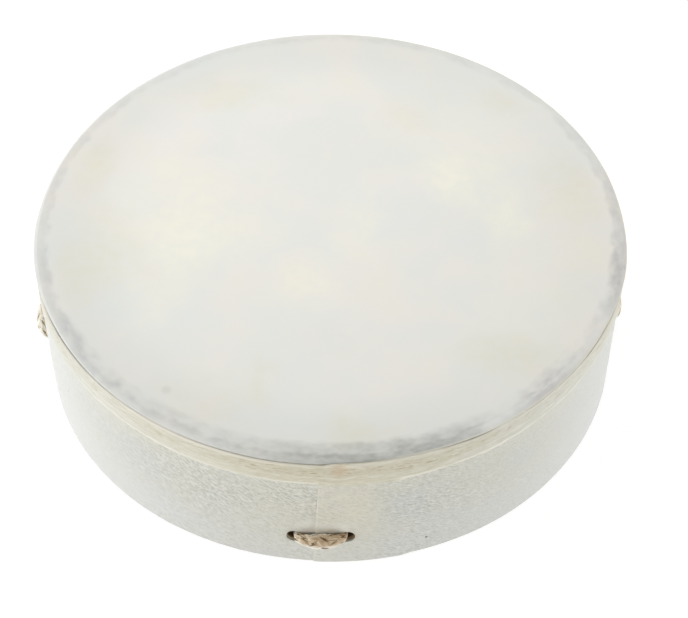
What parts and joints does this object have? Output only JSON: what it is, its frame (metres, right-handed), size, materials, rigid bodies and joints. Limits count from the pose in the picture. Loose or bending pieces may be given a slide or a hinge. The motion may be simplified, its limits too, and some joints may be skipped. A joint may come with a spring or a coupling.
{
  "type": "buffalo drum",
  "caption": "Shallow round hand drum with one glued translucent head on a wrapped fibre hoop, open at the bottom, with braided ropes stitched through the wall and lashed into a cross grip.",
  "frame": {"origin": "on the hoop's axis, in the plane of its open bottom edge", "axes": "+Z from the open edge to the head, -Y towards the lap seam at the front, +X to the right of the front"},
  "size_m": [0.3352, 0.3372, 0.088],
  "materials": {
    "fibre_board": "raw laminated wood-fibre board",
    "grained_sheet": "off-white, fine leather-like grain, matt",
    "fibre_strip": "cream fibre paper with streaks along its length",
    "set_glue": "clear-grey set adhesive",
    "head_film": "milky mottled film, satin",
    "braided_rope": "natural tan braid",
    "lashing_cord": "natural tan twisted cord"
  },
  "bodies": {
    "root": {"shell_core": "fibre_board", "outer_wrap": "grained_sheet", "collar_band": "fibre_strip", "head_glue": "set_glue", "head_film": "head_film", "rope_front_back": "braided_rope", "rope_left_right": "braided_rope", "grip_lashing": "lashing_cord"}
  },
  "joints": []
}
